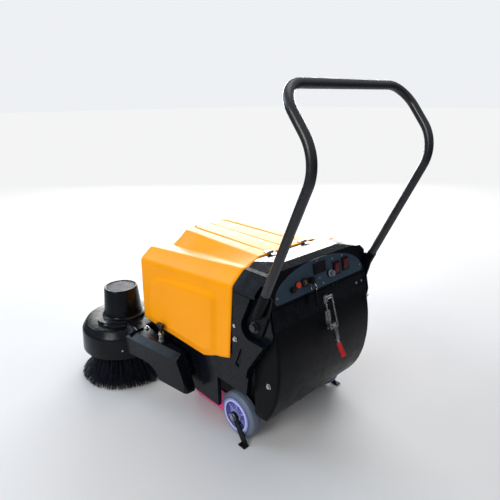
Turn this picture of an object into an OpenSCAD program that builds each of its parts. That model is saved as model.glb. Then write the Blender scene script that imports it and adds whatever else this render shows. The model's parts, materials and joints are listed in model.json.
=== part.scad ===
// Walk-behind floor sweeper with a rear hopper, a main roller brush and one side brush.
// Origin: on the floor under the middle of the wheel axle. +X right, +Y forward, +Z up.

/* [Wheels] */
// Diameter of each rear wheel
wheel_d = 150; // [146:1:150]
// Width of each tyre
tyre_w = 34; // [30:1:34]
// Distance of each wheel's centre from the middle
wheel_x = 198; // [197:0.5:198]
// Diameter of the wheel axle
axle_d = 20; // [18:1:20]

/* [Body] */
// Outside of the flanks under the hood
skin_x = 236; // [235:0.5:236]
// Outside of the fairings behind the hood and of the console
fairing_x = 246; // [245:0.5:247]
// Half of the hopper's width
hopper_x = 213; // [208:1:213]
// Front of the hood
hood_front = 464; // [462:1:468]
// Wall of the moulded covers
wall = 4; // [3:0.5:4]
// Lean of the rear face from upright, in degrees
lean = 12.4; // [12:0.1:12.8]

/* [Handle] */
// Diameter of the push handle's tube
tube_d = 24; // [22:1:24]
// Half of the distance between the legs at the top
leg_x = 250; // [248:1:254]
// Height of the cross bar's axis
bar_z = 1045; // [1030:5:1060]
// Radius of the middle bend of each leg
leg_bend = 110; // [90:5:110]
// Radius of the bends beside the cross bar
top_bend = 72; // [60:2:72]

/* [Brushes] */
// Diameter of the main roller over its bristles
roller_d = 200; // [190:2:200]
// Diameter of the side brush at its tips
side_brush_d = 354; // [340:2:356]
// Diameter of the guard over the side brush
guard_d = 320; // [318:1:320]

/* [Control panel] */
// Half of the width of the control plate
plate_x = 197; // [194:1:200]
// Thickness of the control plate
plate_t = 2; // [1.5:0.5:2]

/* [Hidden] */
$fn = 64;

// Clearances: between parts that turn on each other, and between parts that only meet
run = 0.05;
gap = 0.3;

black = "#1d1e20";
steel = "#3a3c40";
zinc = "#b9bcc0";

axle_z = wheel_d / 2;
frame_x = 170;          // inner face of each chassis side plate
sheet = 4;              // thickness of the chassis sheet
frame_out = frame_x + sheet;
pivot_plate_x = 214;    // inner face of each handle pivot plate
pivot_out = pivot_plate_x + sheet;
recess_x = pivot_out + sheet;
recess_r = 36;

// Rear face: a plane that leans forward by "lean" and passes through this line
rear_y0 = -150.5;
rear_z0 = 482.8;
function rear_y(z) = rear_y0 + (z - rear_z0) * tan(lean);
function rear_s(z) = (z - rear_z0) / cos(lean);

// Hood and console sections: flank corner, outer edge of the ledge, raised top
hood_rear = -33;
seam = -36;
seam_lean = 16;         // how far forward the seam on the flanks is at its lower end
flank_bottom_x = 252;
ledge_x = 202;
crown_base_x = 186;
crown_x = 119;
corner_z = 533;
ledge_z = 571;
crown_z = 577;
console_z = 588;
hood_low_z = 240;

// Handle
pivot = [237, -103, 428];
leg_corner = [leg_x, -319, 893];
bar_corner = [leg_x, -203, bar_z];
bolt_r = 8;

// Roller and its drive
roller_y = 152;
roller_z = 101;
roller_r = roller_d / 2;
shaft_r = 10;
bearing_r = 17;
housing_r = roller_r + 12;
pulley_x = 184;
pulley_w = 14;
big_pulley_r = 45;
small_pulley_r = 18;
motor_z = 262;

// Side brush
side_pos = [-265, 602, 0];
guard_r = guard_d / 2;
guard_top = 225;
arm_pivot = [0, 190, 150];
arm_top = 230;
knob_pos = [-274, 316, 0];

// Front caster
caster_y = 380;
caster_trail = 28;
caster_r = 40;
pan_z = 138;

// Toggle latch, in the rear face's own frame: x, distance up the face, distance out
latch_x = 5;
latch_pivot = [-107, 13];
latch_pin = [-113, 21];
keeper_bar = [-19.5, 12];

// Controls: x and distance up the face
display_at = [-6, 70];
rocker_at = [[70, 50], [113, 53]];
start_at = [-105, 45];
stop_at = [-126, 37];
socket_at = [-78, 45];
key_at = [-54, 45];
lamp_at = [-12, 40];
knob_at = [36, 42];
screw_at = [[-187, 30], [187, 30], [-13, 91], [57, 80], [3, 21], [103, 80]];
rocker_size = [20, 30];
rocker_tilt = 8;

// ---- helpers -------------------------------------------------------------------------

function unit(v) = v / norm(v);

// Extrudes a (y, z) outline along X
module along_x(x0, x1) {
    translate([x0, 0, 0]) rotate([90, 0, 90]) linear_extrude(x1 - x0) children();
}

// Extrudes an (x, z) outline along Y
module along_y(y0, y1) {
    translate([0, y1, 0]) rotate([90, 0, 0]) linear_extrude(y1 - y0) children();
}

module block(lo, hi) {
    translate(lo) cube(hi - lo);
}

module both_sides() {
    children();
    mirror([1, 0, 0]) children();
}

// A disc or a pin along X
module disc_x(r, x0, x1, y, z, fn = 64) {
    translate([x0, y, z]) rotate([0, 90, 0]) cylinder(r = r, h = x1 - x0, $fn = fn);
}

module tube_x(r_in, r_out, x0, x1, y, z) {
    difference() {
        disc_x(r_out, x0, x1, y, z);
        disc_x(r_in, x0 - 1, x1 + 1, y, z);
    }
}

module tube_z(r_in, r_out, z0, z1) {
    translate([0, 0, z0]) difference() {
        cylinder(r = r_out, h = z1 - z0);
        translate([0, 0, -1]) cylinder(r = r_in, h = z1 - z0 + 2);
    }
}

// Turns +Z to a direction and moves it to a point
module aim(from, to) {
    d = unit(to - from);
    translate(from) rotate([0, acos(d.z), atan2(d.y, d.x)]) children();
}

// Places parts on the leaning rear face: x, distance up it, and +Z pointing out of it
module on_rear(x, s) {
    translate([x, rear_y0 + s * sin(lean), rear_z0 + s * cos(lean)])
        rotate([90 - lean, 0, 0]) children();
}

// The convex solid round a list of points
module convex(points) {
    hull() polyhedron(points = points, faces = [[for (i = [0 : len(points) - 1]) i]]);
}

// ---- chassis and lower body ----------------------------------------------------------

module side_plate_outline() {
    polygon([
        [-66, 433], [-66, 100], [-25, 50], [30, 50], [60, 70],
        [445, 70], [445, 300], [-16, 300], [-16, 433]
    ]);
}

module brush_housing() {
    inner = [for (a = [-20 : 5 : 140]) [roller_y + housing_r * cos(a), roller_z + housing_r * sin(a)]];
    r = housing_r + 3;
    outer = [for (a = [140 : -5 : -20]) [roller_y + r * cos(a), roller_z + r * sin(a)]];
    along_x(-frame_x, frame_x) polygon(concat(inner, outer));
}

module outriggers() {
    reach = skin_x - wall;
    both_sides() {
        block([frame_x, 414, 120], [reach, 418, 290]);
        block([frame_x, 84, 200], [reach, 88, 290]);
    }
    block([-frame_out, 445, 200], [frame_out, 452, 240]);
}

module caster_mount() {
    block([-45, caster_y - 45, pan_z - 8], [45, caster_y + 45, pan_z]);
    translate([0, caster_y, 0]) {
        translate([0, 0, 104]) cylinder(r = bolt_r, h = pan_z - 104);
        translate([0, 0, 99]) cylinder(r = 13, h = 7, $fn = 6);
    }
}

module deck() {
    difference() {
        block([-pivot_plate_x, -138, 429], [pivot_plate_x, -20, 433]);
        block([-100, -110, 428], [100, -50, 434]);
    }
}

module chassis_frame() color(steel) {
    difference() {
        union() {
            both_sides() {
                along_x(frame_x, frame_out) side_plate_outline();
                along_x(pivot_plate_x, pivot_out)
                    polygon([[-140, 429], [-136, 512], [-50, 512], [-40, 300], [-76, 305]]);
            }
            block([-frame_x, housing_r + roller_y - 1, pan_z], [frame_x, 445, pan_z + sheet]);
            deck();
            brush_housing();
            outriggers();
            caster_mount();
            disc_x(16, -skin_x + wall, -frame_x, arm_pivot.y, arm_pivot.z);
            disc_x(bolt_r, -284, -frame_x, arm_pivot.y, arm_pivot.z);
        }
        disc_x(axle_d / 2 + run, -300, 300, 0, axle_z);
        disc_x(bearing_r + run, -200, 200, roller_y, roller_z);
        disc_x(9, 150, 200, roller_y, motor_z);
        disc_x(bolt_r + run, -230, -200, pivot.y, pivot.z);
        disc_x(bolt_r + run, 200, 230, pivot.y, pivot.z);
    }
}

module rear_crossmember() color(black) {
    t = 3.2;
    difference() {
        along_x(-hopper_x, hopper_x) polygon([
            [rear_y(484), 484], [rear_y(428.5), 428.5], [-138, 428.5], [-138, 431.5],
            [rear_y(431.5) + t, 431.5], [rear_y(481) + t, 481], [-120, 481], [-120, 484]
        ]);
        on_rear(176, rear_s(459)) translate([-28, -12, -1.5]) cube([56, 24, 5]);
    }
}

// Region of the flank that the handle's lower end sits in and swings back through
module handle_recess_outline() {
    up = unit([leg_corner.y - pivot.y, leg_corner.z - pivot.z]);
    translate([pivot.y, pivot.z]) {
        circle(r = recess_r);
        rotate(atan2(up.y, up.x)) translate([0, -recess_r]) square([140, 2 * recess_r]);
        translate([-90, -recess_r]) square([90, 140]);
    }
}

module fairing() {
    difference() {
        along_x(pivot_out, fairing_x) polygon([
            [seam, 518], [rear_y(518), 518], [rear_y(425), 425], [-160, 402],
            [-90, 296], [-82, 262], [seam + seam_lean - 1, 262]
        ]);
        along_x(recess_x, fairing_x + 1) handle_recess_outline();
        block([pivot_out - 1, -62, 268], [fairing_x - wall, seam - 14, 510]);
        translate([0, -70, 350]) rotate([-68, 0, 0])
            block([fairing_x - wall, 0, -8], [fairing_x + 1, 66, 8]);
        disc_x(bolt_r + run, pivot_out - 1, recess_x + 1, pivot.y, pivot.z);
    }
    along_x(pivot_out, skin_x) polygon([[seam, 262], [-82, 262], [-72, 196], [seam, 196]]);
}

module side_panel() {
    fairing();
    along_x(skin_x - wall, skin_x) polygon([
        [66, 88], [458, 88], [458, 318], [seam, 318], [seam, 196], [66, 196]
    ]);
    block([skin_x - 14, 62, 88], [skin_x, 66, 196]);
}

// Room behind the side brush's guard, which also moves back a little as the arm lifts
module guard_room() {
    translate([side_pos.x, side_pos.y, 0]) cylinder(r = guard_r + 12, h = 252);
}

module side_panel_left() color(black) {
    difference() {
        mirror([1, 0, 0]) side_panel();
        guard_room();
        disc_x(bolt_r + gap, -skin_x - 1, -skin_x + wall + 1, arm_pivot.y, arm_pivot.z);
    }
}

module side_panel_right() color(black) side_panel();

module front_panel() color(black) {
    half = skin_x - wall - gap;
    difference() {
        block([-half, 452, 88], [half, 458, 300]);
        for (z = [130 : 24 : 226]) block([-160, 456, z], [180, 459, z + 8]);
        guard_room();
    }
}

module dust_skirts() color("#e8549a") {
    x0 = frame_out + gap;
    both_sides() difference() {
        along_x(x0, x0 + 3) polygon([[30, 8], [258, 4], [266, 10], [266, 86], [74, 86], [44, 52]]);
        for (y = [96 : 52 : 200]) block([x0 - 1, y, 40], [x0 + 4, y + 22, 46]);
        disc_x(bearing_r + 2, x0 - 1, x0 + 4, roller_y, roller_z);
    }
    block([-frame_x + 1, housing_r + roller_y + 3.3, 6], [frame_x - 1, housing_r + roller_y + 6.3, 110]);
}

// ---- console and control panel -------------------------------------------------------

function console_front(i) = [
    [fairing_x - i, 400], [fairing_x - i, corner_z - i / 3], [ledge_x - i / 3, ledge_z - i],
    [crown_base_x - i / 3, ledge_z + 1 - i], [crown_x - i / 3, console_z - i]
];

function mirrored(half) = concat(half, [for (k = [len(half) - 1 : -1 : 0]) [-half[k].x, half[k].y]]);

// Outer block of the console for i = 0 and its hollow for i = wall
module console_block(i) {
    open = i > 0 ? 60 : 0;
    notch_y = -122 + i;
    notch_x = 222 - i;
    intersection() {
        along_y(-200, 80) polygon(mirrored(console_front(i)));
        along_x(-300, 300) polygon([
            [-9 + open, 400], [-9 + open, crown_z - i], [-9, crown_z - i],
            [-105, console_z - i], [rear_y(578) + i, 578 - i / 2], [rear_y(400) + i, 400]
        ]);
        linear_extrude(800) polygon(mirrored([
            [crown_x, -9 + open], [crown_base_x, seam + open], [fairing_x - i, seam + open],
            [fairing_x - i, notch_y], [notch_x, notch_y], [notch_x, -200]
        ]));
    }
}

module console_cover() color(black) {
    difference() {
        console_block(0);
        console_block(wall);
        block([-300, -300, 0], [300, 100, 486]);
        both_sides() block([hopper_x + 3, -300, 0], [300, 100, 520]);
        panel_cutouts();
    }
}

module plate_outline() {
    rise = 78;
    foot = 20;
    arc = [for (a = [0 : 5 : 180]) [plate_x * cos(a), foot + rise * sin(a)]];
    polygon(concat(arc, [[-plate_x + 2, 15], [-plate_x + 9, 11], [plate_x - 9, 11], [plate_x - 2, 15]]));
}

module panel_cutouts() {
    for (p = rocker_at) on_rear(p.x, p.y)
        translate([0, 0, -5]) cube([rocker_size.x + 4, rocker_size.y + 4, 40], center = true);
    for (p = [start_at, stop_at, key_at, knob_at]) on_rear(p.x, p.y)
        translate([0, 0, -20]) cylinder(r = 7.5, h = 40);
}

module control_panel() color("#40566b") {
    difference() {
        on_rear(0, 0) translate([0, 0, run]) linear_extrude(plate_t) plate_outline();
        panel_cutouts();
    }
}

face = plate_t + 2 * run;    // where parts that sit on the control plate start

module charge_display() color("#2b2226") {
    on_rear(display_at.x, display_at.y) translate([0, 0, face]) {
        translate([-26, -16, 0]) cube([52, 32, 4]);
        translate([-21, -11, 4]) cube([42, 22, 1]);
    }
}

module indicator_lamp() color("#7f93a8") {
    on_rear(lamp_at.x, lamp_at.y) translate([0, 0, face]) {
        cylinder(r = 5, h = 2);
        cylinder(r = 3.6, h = 4);
    }
}

module charge_socket() color("#1b1b1d") {
    on_rear(socket_at.x, socket_at.y) translate([0, 0, face]) {
        tube_z(8, 12.6, 0, 7);
        cylinder(r = 5, h = 8);
        cylinder(r = 9, h = 1.5);
    }
}

module rocker_frame() {
    translate([0, 0, face]) linear_extrude(4) difference() {
        square([rocker_size.x + 10, rocker_size.y + 10], center = true);
        square([rocker_size.x + 1, rocker_size.y + 3], center = true);
    }
}

module panel_bezels() color("#17181a") {
    for (p = rocker_at) on_rear(p.x, p.y) rocker_frame();
    for (p = [start_at, stop_at]) on_rear(p.x, p.y) tube_z(6.6, 9.6, face, face + 3);
    on_rear(key_at.x, key_at.y) tube_z(3 + run, 9.5, face, face + 7);
    on_rear(knob_at.x, knob_at.y) tube_z(3 + run, 11.5, face, face + 4);
}

module rocker(p) {
    on_rear(p.x, p.y) translate([0, 0, face - 1]) rotate([rocker_tilt, 0, 0]) {
        translate([-rocker_size.x / 2, -rocker_size.y / 2, 1]) cube([rocker_size.x, rocker_size.y, 6]);
        disc_x(2.5, -rocker_size.x / 2, rocker_size.x / 2, 0, 1);
    }
}

module power_switch() color("#c2202a") rocker(rocker_at[0]);

module brush_switch() color("#c2202a") rocker(rocker_at[1]);

module push_button(p, crown) {
    on_rear(p.x, p.y) {
        translate([0, 0, face - 4]) cylinder(r = 6.5, h = 10);
        translate([0, 0, face + 6]) cylinder(r = crown, h = 2.5);
    }
}

module start_button() color("#f0553a") push_button(start_at, 8);

module stop_button() color(black) push_button(stop_at, 8);

module key() color("#151517") {
    on_rear(key_at.x, key_at.y) {
        translate([0, 0, face - 3]) cylinder(r = 3, h = 14);
        translate([-4, -11, face + 8]) cube([8, 22, 12]);
        // split ring through the key's head, and the spare key's tag that hangs from it
        translate([0, -19, face + 14]) rotate([0, 90, 0]) rotate_extrude() translate([9.2, 0]) circle(r = 1);
        translate([-1.5, -74, face + 12]) cube([3, 48, 10]);
    }
}

module speed_knob() color("#c9ccd0") {
    on_rear(knob_at.x, knob_at.y) {
        translate([0, 0, face - 2]) cylinder(r = 3, h = 8);
        translate([0, 0, face + 4 + gap]) cylinder(r = 10.5, h = 3);
        translate([0, 0, face + 7 + gap]) cylinder(r = 8.5, h = 10);
    }
}

module dome_screw(r) {
    cylinder(r = r, h = 1.2);
    cylinder(r = r * 0.78, h = 2);
}

module hex_bolt(r) {
    cylinder(r = r * 1.3, h = 1.5);
    translate([0, 0, 1.5]) cylinder(r = r, h = 4.5, $fn = 6);
}

module body_fasteners() color(zinc) {
    for (p = screw_at) on_rear(p.x, p.y) translate([0, 0, face]) dome_screw(3.4);
    for (x = [163, 190]) on_rear(x, rear_s(459)) translate([0, 0, -1.5 + run]) dome_screw(4);
    both_sides() {
        translate([fairing_x + run, -38, 414]) rotate([0, 90, 0]) dome_screw(5.5);
        translate([fairing_x + run, -42, 374]) rotate([0, 90, 0]) hex_bolt(6);
    }
}

// ---- hood ----------------------------------------------------------------------------

// Lower part of the hood at one station along Y, moved in by i
function hood_section(y, corner, ledge, i) = [
    [-flank_bottom_x + i, y, hood_low_z - i], [flank_bottom_x - i, y, hood_low_z - i],
    [fairing_x - i, y, corner - i / 3], [ledge_x - i / 3, y, ledge - i],
    [-ledge_x + i / 3, y, ledge - i], [-fairing_x + i, y, corner - i / 3]
];

// Four points across the crown, each end with its own half-width, y and z
function crown_quad(rear, front) = [
    [-rear.x, rear.y, rear.z], rear, front, [-front.x, front.y, front.z]
];

module hood_block(i) {
    open = i > 0 ? 40 : 0;
    slope = (corner_z - 486) / (hood_front - hood_rear);
    back = hood_rear - open;
    convex(concat(
        hood_section(hood_front - i, 486, 521, i),
        hood_section(back, corner_z + slope * open, ledge_z + slope * open, i)
    ));
    convex(concat(
        crown_quad([crown_base_x - i, back, 540 - i], [150 - i, 440 - i, 490 - i]),
        crown_quad([crown_base_x - i, back, ledge_z + slope * open - i], [150 - i, 440 - i, 521.5 - i]),
        crown_quad([crown_x - i / 2, -8 - open, crown_z + 2 - i], [113 - i / 2, 392 - i / 2, 581 - i])
    ));
}

// Raised field on each flank of the hood
module flank_panel() {
    along_x(200, flank_bottom_x + 3) polygon(concat(
        [[72, 285], [72, 478], [84, 488]],
        [for (a = [90 : -10 : 0]) [338 + 86 * cos(a), 368 + 88 * sin(a)]],
        [[430, 262]]
    ));
}

module hood() color("#fba81c") {
    difference() {
        union() {
            hood_block(0);
            both_sides() intersection() {
                flank_panel();
                translate([3, 0, 0]) hood_block(0);
            }
        }
        hood_block(wall);
        // stepped lower edge, and the open rear
        along_x(-300, 300) polygon([
            [500, 100], [500, 259], [100, 263], [44, 287], [hood_rear - 60, 320], [hood_rear - 60, 100]
        ]);
        along_x(-300, 300) polygon([
            [hood_rear, corner_z], [hood_rear + seam_lean, 262],
            [hood_rear - 60, 262], [hood_rear - 60, corner_z]
        ]);
        linear_extrude(800) polygon(mirrored([
            [crown_x, -8], [crown_base_x, hood_rear], [300, hood_rear], [300, -200]
        ]));
        // shallow fore-and-aft steps in the crown
        for (x = [-76, -2, 72]) along_x(x, x + 4)
            polygon([[-20, 577.6], [400, 574], [400, 600], [-20, 600]]);
    }
}

hinge_at = [-75, 75];
hinge_y = -8.5;
hinge_z = 584;
hinge_r = 3.4;

module hood_hinge_base() color(zinc) {
    for (x = hinge_at) {
        block([x - 11, -28, 581], [x + 11, hinge_y - 3.8, 582.5]);
        for (s = [-11, 4.3]) {
            block([x + s, hinge_y - 3.9, 581], [x + s + 6.7, hinge_y, 582.5]);
            disc_x(hinge_r, x + s, x + s + 6.7, hinge_y, hinge_z);
        }
        disc_x(1.8, x - 11, x + 11, hinge_y, hinge_z);
    }
}

module hood_hinge_leaves() color(zinc) {
    for (x = hinge_at) difference() {
        union() {
            block([x - 10, -3.6, 579.2], [x + 10, 12, 582]);
            block([x - 4, hinge_y, 581.5], [x + 4, -3, 584.5]);
            disc_x(hinge_r, x - 4, x + 4, hinge_y, hinge_z);
        }
        disc_x(1.8 + run, x - 20, x + 20, hinge_y, hinge_z);
    }
}

// ---- push handle ---------------------------------------------------------------------

leg_dir = unit(leg_corner - pivot);
rise_dir = unit(bar_corner - leg_corner);
tube_r = tube_d / 2;
tube_wall = 2;
sleeve_from = 56;
sleeve_to = 126;

// The tube's lengths are separate solids that stop this far short of each other
tube_break = 0.03;

module straight_tube(from, to) {
    length = norm(to - from) - 2 * tube_break;
    aim(from, to) translate([0, 0, tube_break]) difference() {
        cylinder(r = tube_r, h = length);
        translate([0, 0, -1]) cylinder(r = tube_r - tube_wall, h = length + 2);
    }
}

// A bend of the tube at a corner point, between two unit directions
module bent_tube(corner, d_in, d_out, radius) {
    turn = acos(d_in * d_out);
    start = corner - d_in * radius * tan(turn / 2);
    inward = unit(d_out - d_in * (d_in * d_out));
    x_axis = -inward;
    z_axis = cross(x_axis, d_in);
    c = start + inward * radius;
    multmatrix([
        [x_axis.x, d_in.x, z_axis.x, c.x],
        [x_axis.y, d_in.y, z_axis.y, c.y],
        [x_axis.z, d_in.z, z_axis.z, c.z],
        [0, 0, 0, 1]
    ]) rotate_extrude(angle = turn) translate([radius, 0]) difference() {
        circle(r = tube_r);
        circle(r = tube_r - tube_wall);
    }
}

module half_handle() {
    leg_turn = acos(leg_dir * rise_dir);
    leg_cut = leg_bend * tan(leg_turn / 2);
    straight_tube(pivot + leg_dir * (sleeve_from + 2), leg_corner - leg_dir * leg_cut);
    bent_tube(leg_corner, leg_dir, rise_dir, leg_bend);
    straight_tube(leg_corner + rise_dir * leg_cut, bar_corner - rise_dir * top_bend);
    bent_tube(bar_corner, rise_dir, [-1, 0, 0], top_bend);
}

module handle_tube() color("#17191c") {
    bar_x = leg_x - top_bend;
    both_sides() half_handle();
    straight_tube([-bar_x, bar_corner.y, bar_corner.z], [bar_x, bar_corner.y, bar_corner.z]);
}

module handle_brackets() color(black) {
    x0 = recess_x + gap;
    up = unit([leg_corner.y - pivot.y, leg_corner.z - pivot.z]);
    both_sides() difference() {
        union() {
            along_x(x0, x0 + 6) translate([pivot.y, pivot.z]) {
                circle(r = 32);
                rotate(atan2(up.y, up.x))
                    polygon([[0, -32], [50, -28], [118, -15], [118, 15], [50, 28], [0, 32]]);
            }
            aim(pivot + leg_dir * (sleeve_from - 6), leg_corner)
                cylinder(r = tube_r + 1.8, h = sleeve_to - sleeve_from + 6);
            aim(pivot + leg_dir * (sleeve_from - 14), leg_corner)
                cylinder(r1 = tube_r - 4, r2 = tube_r + 1.8, h = 8);
        }
        aim(pivot + leg_dir * (sleeve_from + 1), leg_corner) cylinder(r = tube_r + run, h = sleeve_to);
        disc_x(bolt_r + run, x0 - 1, x0 + 8, pivot.y, pivot.z);
        block([recess_x - 10, -300, 300], [x0, 0, 700]);
    }
}

module pivot_bolts() color("#55585d") {
    head_x = recess_x + gap + 6 + gap;
    both_sides() {
        disc_x(bolt_r, pivot_plate_x - 0.2, head_x, pivot.y, pivot.z);
        disc_x(16, head_x, head_x + 2, pivot.y, pivot.z);
        disc_x(12, head_x + 2, head_x + 10, pivot.y, pivot.z, 6);
    }
}

// ---- hopper and its latch ------------------------------------------------------------

// Side outline of the hopper's full-width rear part, moved in by i
module hopper_side(i, top) {
    polygon([
        [-84 - i, 100 + i], [-84 - i, top], [rear_y(427) + i, top], [rear_y(355) + i, 355],
        [-181 + i, 280], [-171 + i, 213], [-152 + i, 160 + i / 2], [-130 + i / 2, 124 + i],
        [-110, 101 + i]
    ]);
}

// Rear outline with rounded lower corners
module hopper_rear(i, top) {
    r = 42 - i;
    cx = hopper_x - 42;
    cz = 100 + 42;
    arc = [for (a = [0 : -10 : -90]) [cx + r * cos(a), cz + r * sin(a)]];
    polygon(mirrored(concat([[hopper_x - i, top]], arc)));
}

module hopper_solid(i, top) {
    front = 38;
    neck_x = frame_x - 4;
    intersection() {
        along_x(-hopper_x, hopper_x) hopper_side(i, top);
        along_y(-200, 0) hopper_rear(i, top);
    }
    block([-neck_x + i, -104, 100 + i], [neck_x - i, front - i, top]);
}

module hopper() color("#1a1b1d") {
    t = 3;
    difference() {
        hopper_solid(0, 427);
        hopper_solid(t, 440);
        // throat that the roller throws the dirt through
        block([-frame_x + 14, 20, 112], [frame_x - 14, 60, 260]);
    }
}

module hopper_bolts() color(zinc) {
    both_sides() translate([hopper_x + run, -143, 253]) rotate([0, 90, 0]) hex_bolt(6.5);
}

module latch_keeper() color(zinc) {
    on_rear(latch_x, 0) translate([-9, -40, run]) cube([18, 22, 2]);
    block([latch_x - 8, rear_y(462) - 17, 460.8], [latch_x + 8, rear_y(462) - 2.2, 463.8]);
}

module latch_base() color(zinc) {
    ear_r = 6.5;
    on_rear(latch_x, 0) difference() {
        union() {
            translate([-11, -120, run]) cube([22, 56, 2]);
            both_sides() {
                disc_x(ear_r, 8, 11, latch_pivot.x, latch_pivot.y);
                translate([8, latch_pivot.x - ear_r, run]) cube([3, 2 * ear_r, latch_pivot.y]);
            }
        }
        disc_x(2.5 + run, -20, 20, latch_pivot.x, latch_pivot.y);
    }
}

// Outline of the lever's flat tail, as (distance up the face, distance out), t from its middle
function tail(t) = let (
    from = [-146, 24],
    d = unit([-52, 16]),
    side = [-d.y, d.x] * t,
    to = from + d * (tail_length + t - 2)
) [from + side, to + side, to - side, from - side];
tail_length = 54;

module latch_lever() color(zinc) {
    on_rear(latch_x, 0) difference() {
        union() {
            disc_x(2.5, -13, 13, latch_pivot.x, latch_pivot.y);
            along_x(-7.5, 7.5) polygon([
                [-101.5, 11], [-103, 16], [-109, 25], [-116, 26.5], [-148, 29], [-150, 24], [-120, 14],
                [-112, 8], [-105, 7.5]
            ]);
            along_x(-5, 5) polygon(tail(2));
        }
        disc_x(2.2 + run, -20, 20, latch_pin.x, latch_pin.y);
    }
}

module latch_grip() color("#c8222c") {
    on_rear(latch_x, 0) difference() {
        aim([0, -160, 28.3], [0, -212, 44.3]) {
            cylinder(r = 7.2, h = 34);
            translate([0, 0, 34]) cylinder(r = 8.4, h = 8);
        }
        along_x(-5 - run, 5 + run) polygon(tail(2 + run));
    }
}

module latch_u_bolt() color(zinc) {
    rail = 15.5;
    r = 2.2;
    reach = norm(keeper_bar - latch_pin);
    on_rear(latch_x, 0) {
        both_sides() aim([rail, latch_pin.x, latch_pin.y], [rail, keeper_bar.x, keeper_bar.y]) {
            translate([0, 0, -3]) cylinder(r = r + 0.2, h = reach + 6);
            translate([0, 0, reach - 26]) cylinder(r = 4.2, h = 6, $fn = 6);
        }
        disc_x(r, -rail, rail, latch_pin.x, latch_pin.y);
        disc_x(r, -rail, rail, keeper_bar.x, keeper_bar.y);
    }
}

// ---- wheels --------------------------------------------------------------------------

hub_bore = 14;
tyre_in = wheel_d / 2 - 20;
wheel_in = wheel_x - tyre_w / 2;
wheel_out = wheel_x + tyre_w / 2;
lever_x = wheel_out + 6;
axle_end_r = 6;

module wheel_axle() color(zinc) {
    shoulder = lever_x - 1;
    end = lever_x + 14;
    disc_x(axle_d / 2, -shoulder, shoulder, 0, axle_z);
    disc_x(axle_end_r, -end, end, 0, axle_z);
}

module axle_nuts() color(zinc) {
    x0 = lever_x + 4.7;
    both_sides() difference() {
        union() {
            disc_x(11, x0, x0 + 1.6, 0, axle_z);
            disc_x(9.6, x0 + 1.6, x0 + 8, 0, axle_z, 6);
        }
        disc_x(axle_end_r + run, x0 - 1, x0 + 20, 0, axle_z);
    }
}

module axle_bushes() color("#8d8f92") {
    both_sides() tube_x(axle_d / 2 + run, hub_bore, frame_out + gap, wheel_out + 4.5, 0, axle_z);
}

module tyre() {
    h = tyre_w / 2;
    r = wheel_d / 2;
    translate([wheel_x, 0, axle_z]) rotate([0, 90, 0]) rotate_extrude($fn = 96) polygon([
        [tyre_in + run, -h + 2], [tyre_in + 4, -h], [r - 8, -h], [r - 3, -h + 3], [r, -h + 8],
        [r, h - 8], [r - 3, h - 3], [r - 8, h], [tyre_in + 4, h], [tyre_in + run, h - 2]
    ]);
}

module hub() {
    difference() {
        union() {
            tube_x(tyre_in - 6, tyre_in, wheel_in + 2, wheel_out, 0, axle_z);
            tube_x(tyre_in - 8, tyre_in + 2.5, wheel_out + gap, wheel_out + 4, 0, axle_z);
            tube_x(tyre_in - 7, tyre_in - 1, wheel_out - 1, wheel_out + 2, 0, axle_z);
            disc_x(tyre_in - 2, wheel_x - 3, wheel_x + 3, 0, axle_z);
            disc_x(21, wheel_in + 1, wheel_out + 3, 0, axle_z);
            for (a = [0 : 60 : 300]) translate([wheel_x, 0, axle_z]) rotate([a, 0, 0])
                block([-13, -3, 12], [15, 3, tyre_in - 2]);
        }
        disc_x(hub_bore + run, wheel_in - 5, wheel_out + 10, 0, axle_z);
    }
}

module tyre_left() color("#7f8fa6") mirror([1, 0, 0]) tyre();

module tyre_right() color("#7f8fa6") tyre();

module hub_left() color("#b9bdf0") mirror([1, 0, 0]) hub();

module hub_right() color("#b9bdf0") hub();

module foot_lever() {
    difference() {
        union() {
            disc_x(16, lever_x, lever_x + 4, 0, axle_z);
            along_x(lever_x, lever_x + 4) intersection() {
                translate([0, axle_z]) rotate(-122.9) translate([0, -12]) square([100, 24]);
                translate([-100, 0]) square([200, 100]);
            }
            block([lever_x, -64, 0], [lever_x + 20, -36, 3.5]);
        }
        disc_x(axle_end_r + run, lever_x - 1, lever_x + 5, 0, axle_z);
    }
}

module foot_lever_left() color(black) mirror([1, 0, 0]) foot_lever();

module foot_lever_right() color(black) foot_lever();

module caster_fork() color(zinc) {
    wheel_y = caster_y - caster_trail;
    difference() {
        union() {
            translate([0, caster_y, 107.5]) cylinder(r = 22, h = 22);
            block([-26, wheel_y - 14, 107.5], [26, caster_y + 10, 112]);
            both_sides() along_x(21, 26) polygon([
                [wheel_y - 14, 112], [caster_y + 10, 112], [wheel_y + 10, 30], [wheel_y - 10, 30]
            ]);
            disc_x(5, -28, 28, wheel_y, caster_r);
        }
        translate([0, caster_y, 90]) cylinder(r = bolt_r + run, h = 60);
    }
}

module caster_wheel() color("#6e7078") {
    wheel_y = caster_y - caster_trail;
    difference() {
        union() {
            disc_x(caster_r, -13, 13, wheel_y, caster_r);
            disc_x(10, -20, 20, wheel_y, caster_r);
        }
        disc_x(5 + run, -30, 30, wheel_y, caster_r);
    }
}

// ---- main roller and its drive -------------------------------------------------------

module roller_core() color("#4a4d52") {
    disc_x(38, -164, 164, roller_y, roller_z);
    disc_x(shaft_r, -178, pulley_x + pulley_w, roller_y, roller_z);
    disc_x(big_pulley_r, pulley_x, pulley_x + pulley_w, roller_y, roller_z);
}

module roller_bristles() color("#20242c") tube_x(38 + run, roller_r, -160, 160, roller_y, roller_z);

module roller_bearings() color("#9a9da1") {
    both_sides() tube_x(shaft_r + run, bearing_r, frame_x - 3, frame_out + 3, roller_y, roller_z);
}

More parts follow.
